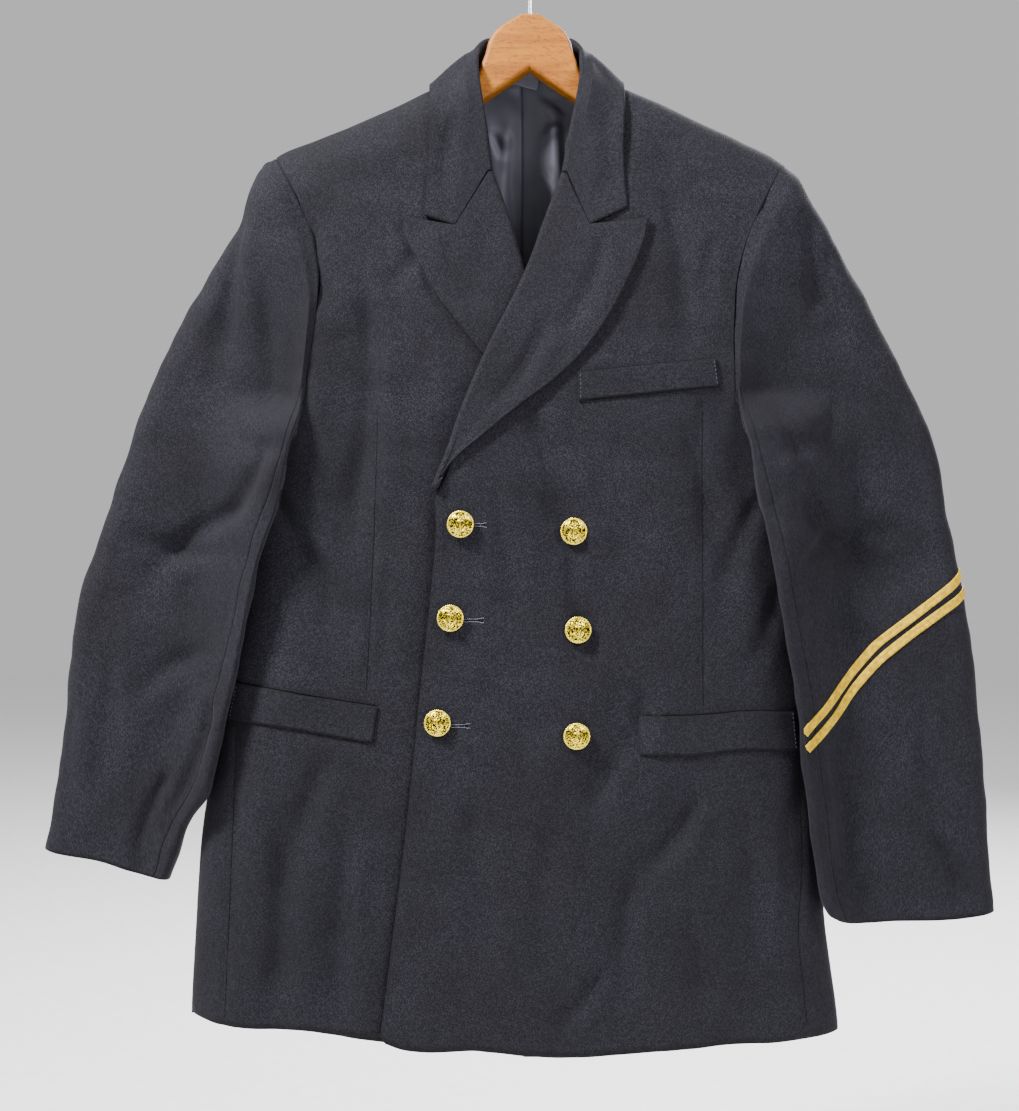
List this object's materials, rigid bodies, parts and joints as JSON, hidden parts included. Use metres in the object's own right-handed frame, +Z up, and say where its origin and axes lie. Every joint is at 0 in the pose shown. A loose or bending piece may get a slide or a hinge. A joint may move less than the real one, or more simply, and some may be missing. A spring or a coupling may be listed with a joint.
{
  "type": "naval uniform coat on a wooden hanger",
  "caption": "Double-breasted navy wool uniform coat with gilt buttons and gold service stripes, hanging flat on a wooden hanger.",
  "frame": {"origin": "inner top of the hanger's hook, where a rail touches it", "axes": "+Z up, -Y the coat's front, +X the wearer's left"},
  "size_m": [0.7994, 0.102, 0.9535],
  "materials": {
    "wool_serge": "navy-black wool serge with a soft nap",
    "satin_lining": "black satin",
    "gold_braid": "woven gold lace braid",
    "gilt_brass": "gilt stamped brass",
    "varnished_beech": "varnished beech",
    "steel_wire": "plated steel wire"
  },
  "bodies": {
    "root": {"front_left": "wool_serge", "front_right": "wool_serge", "back_left": "wool_serge", "back_right": "wool_serge", "vent_underlap": "wool_serge", "lapel_left": "wool_serge", "lapel_right": "wool_serge", "collar": "wool_serge", "sleeve_left_top": "wool_serge", "sleeve_left_under": "wool_serge", "sleeve_right_top": "wool_serge", "sleeve_right_under": "wool_serge", "breast_welt": "wool_serge", "pocket_welt_left": "wool_serge", "pocket_welt_right": "wool_serge", "lining_left": "satin_lining", "lining_right": "satin_lining", "neck_label": "satin_lining", "service_stripe_upper": "gold_braid", "service_stripe_lower": "gold_braid", "button_1": "gilt_brass", "button_2": "gilt_brass", "button_3": "gilt_brass", "button_4": "gilt_brass", "button_5": "gilt_brass", "button_6": "gilt_brass", "hanger_wood": "varnished_beech", "hanger_hook": "steel_wire"}
  },
  "joints": []
}
